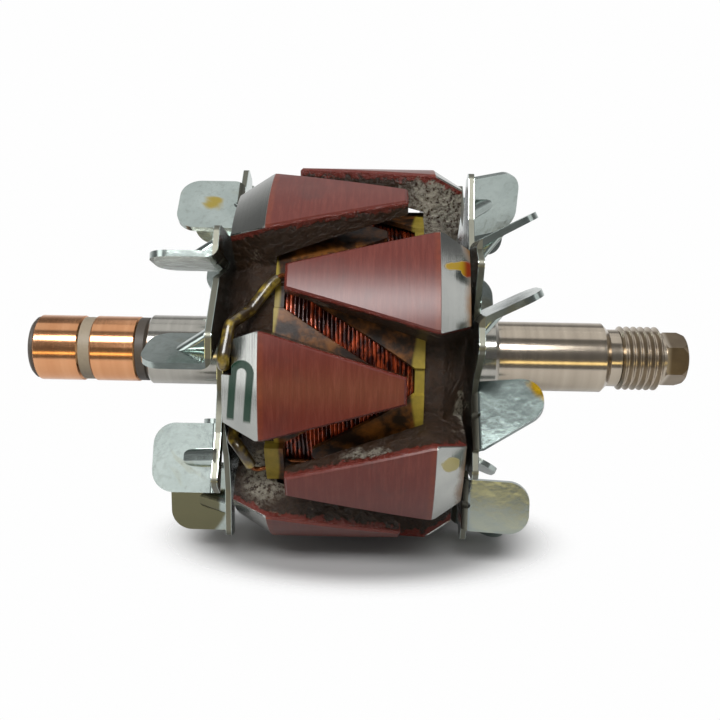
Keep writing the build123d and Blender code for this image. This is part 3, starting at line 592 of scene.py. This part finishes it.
# Floor, lights and camera
def studio_sweep():
    """A matt white sweep. The metal mirrors all of it, and the camera sees only the oval under the
    rotor, where its shadow lies; the oval's colour also greys towards the middle, a painted shadow."""
    material = bpy.data.materials.new("white studio sweep")
    material.use_nodes = True
    t = material.node_tree
    surface = t.nodes["Principled BSDF"]
    surface.inputs["Roughness"].default_value = 0.9
    place = add(t, "ShaderNodeTexCoord", out=OBJECT)
    centred = add(t, VECTOR, {0: place, 1: (camera_aim_x, 0, 0)}, operation="SUBTRACT")
    flat = (1 / oval_half_length, 1 / oval_half_width, 0)
    scaled = add(t, VECTOR, {0: centred, 1: flat}, operation="MULTIPLY")
    reach = add(t, VECTOR, {0: scaled}, MEASURE, operation="LENGTH")
    cover = add(t, RANGE, {0: reach, 1: 0.96, 2: 0.58}, interpolation_type=SMOOTH)
    # Painted shadow: the sweep's colour greys from white to grey towards the middle of the oval,
    # under the rotor
    tone = add(t, MIX, {0: cover, 6: "#e6e6e6", 7: "#a4a4a4"}, COLOUR, data_type="RGBA")
    t.links.new(tone, surface.inputs["Base Color"])
    mirrored = add(t, "ShaderNodeLightPath").node.outputs["Is Glossy Ray"]
    cover = add(t, MATH, {0: cover, 1: mirrored}, operation="MAXIMUM")
    under = add(t, "ShaderNodeNewGeometry").node.outputs["Backfacing"]
    cover = add(t, MATH, {0: cover, 1: under}, operation="SUBTRACT", use_clamp=True)
    clear = add(t, "ShaderNodeBsdfTransparent")
    both = add(t, "ShaderNodeMixShader", {0: cover, 1: clear, 2: surface.outputs[0]})
    t.links.new(both, t.nodes["Material Output"].inputs[0])
    return material


def make_floor(material):
    """The sweep's sheet, just under the rotor."""
    size = floor_reach
    near = floor_near_edge
    z = cad_box[0][2] - floor_drop
    mesh = bpy.data.meshes.new("floor")
    corners = [(-size, near, z), (size, near, z), (size, size, z), (-size, size, z)]
    mesh.from_pydata(corners, [], [(0, 1, 2, 3)])
    mesh.materials.append(material)
    floor = bpy.data.objects.new("floor", mesh)
    bpy.context.collection.objects.link(floor)


def soft_lamp(name, place, width, height, power, colour):
    """An oblong lamp that points at the rotor's middle."""
    aim = Vector((camera_aim_x, 0, 0))
    data = bpy.data.lights.new(name, "AREA")
    data.shape = "RECTANGLE"
    data.size = width
    data.size_y = height
    data.energy = power
    data.color = linear(colour)[:3]
    lamp = bpy.data.objects.new(name, data)
    lamp.location = place
    lamp.rotation_euler = (aim - Vector(place)).to_track_quat("-Z", "Y").to_euler()
    bpy.context.collection.objects.link(lamp)


def light_the_scene():
    """The lamps, a white backdrop behind the rotor and a dim room on the camera's side of it."""
    for lamp in lamps:
        soft_lamp(*lamp)
    world = bpy.data.worlds.new("studio")
    bpy.context.scene.world = world
    world.use_nodes = True
    t = world.node_tree
    t.nodes.clear()
    path = add(t, "ShaderNodeLightPath").node.outputs
    rays = {0: path["Is Glossy Ray"], 1: path["Is Transmission Ray"]}
    mirrored = add(t, MATH, rays, operation="MAXIMUM")
    way = add(t, "ShaderNodeTexCoord")
    side = add(t, VECTOR, {0: way, 1: (0, 0.8, -0.9)}, MEASURE, operation="DOT_PRODUCT")
    backdrop = add(t, RANGE, {0: side, 1: -0.3, 2: 0.7, 3: room_grey, 4: backdrop_white},
                   interpolation_type=SMOOTH)
    strength = add(t, MIX, {0: mirrored, 2: room_light, 3: backdrop})
    strength = add(t, MIX, {0: path["Is Camera Ray"], 2: strength, 3: 1.0})
    back = add(t, "ShaderNodeBackground", {"Color": "#fefefe", "Strength": strength})
    t.links.new(back, t.nodes.new("ShaderNodeOutputWorld").inputs[0])


def set_camera():
    """The photograph's camera, aimed at the middle of the rotor's stack."""
    data = bpy.data.cameras.new("photograph camera")
    data.sensor_width = 36.0
    data.lens = camera_focal
    data.shift_y = -axis_above_centre
    data.clip_start = 0.005
    camera = bpy.data.objects.new("photograph_camera", data)
    yaw = math.radians(camera_yaw)
    rise = math.radians(camera_elevation)
    away = camera_distance * math.cos(yaw)
    aim = Vector((camera_aim_x, 0, 0))
    camera.location = aim + Vector((
        camera_distance * math.sin(yaw),
        -away * math.cos(rise),
        away * math.sin(rise),
    ))
    look = (aim - camera.location).to_track_quat("-Z", "Y")
    roll = Quaternion((0, 0, 1), math.radians(camera_roll))
    camera.rotation_mode = "QUATERNION"
    camera.rotation_quaternion = look @ roll
    bpy.context.collection.objects.link(camera)
    bpy.context.scene.camera = camera


steel = ground_steel()
copper = slip_ring_copper()
phenolic = moulded_phenolic()
forging = painted_forging()
zinc = zinc_plated_sheet()
lead_wire = enamelled_lead()
sleeving = yellow_sleeving()
tin = tinned_copper()
finishes = {
    "shaft": steel,
    "slip_ring_outer": copper,
    "slip_ring_inner": copper,
    "slip_ring_carrier": phenolic,
    "bore_insulator": phenolic,
    "conductor_outer_ring": lead_wire,
    "conductor_inner_ring": lead_wire,
    "rear_claw_pole": forging,
    "front_claw_pole": forging,
    "pole_core": turned_core(),
    "bobbin": amber_nylon(),
    "coil_lead_start": lead_wire,
    "coil_lead_finish": lead_wire,
    "lead_sleeve_start": sleeving,
    "lead_sleeve_finish": sleeving,
    "lead_clip_start": tin,
    "lead_clip_finish": tin,
    "rear_fan": zinc,
    "front_fan": zinc,
}
for name, material in finishes.items():
    dress(name, material)
make_winding(enamelled_winding())
make_floor(studio_sweep())
light_the_scene()
set_camera()
bpy.context.scene.view_settings.view_transform = "Standard"
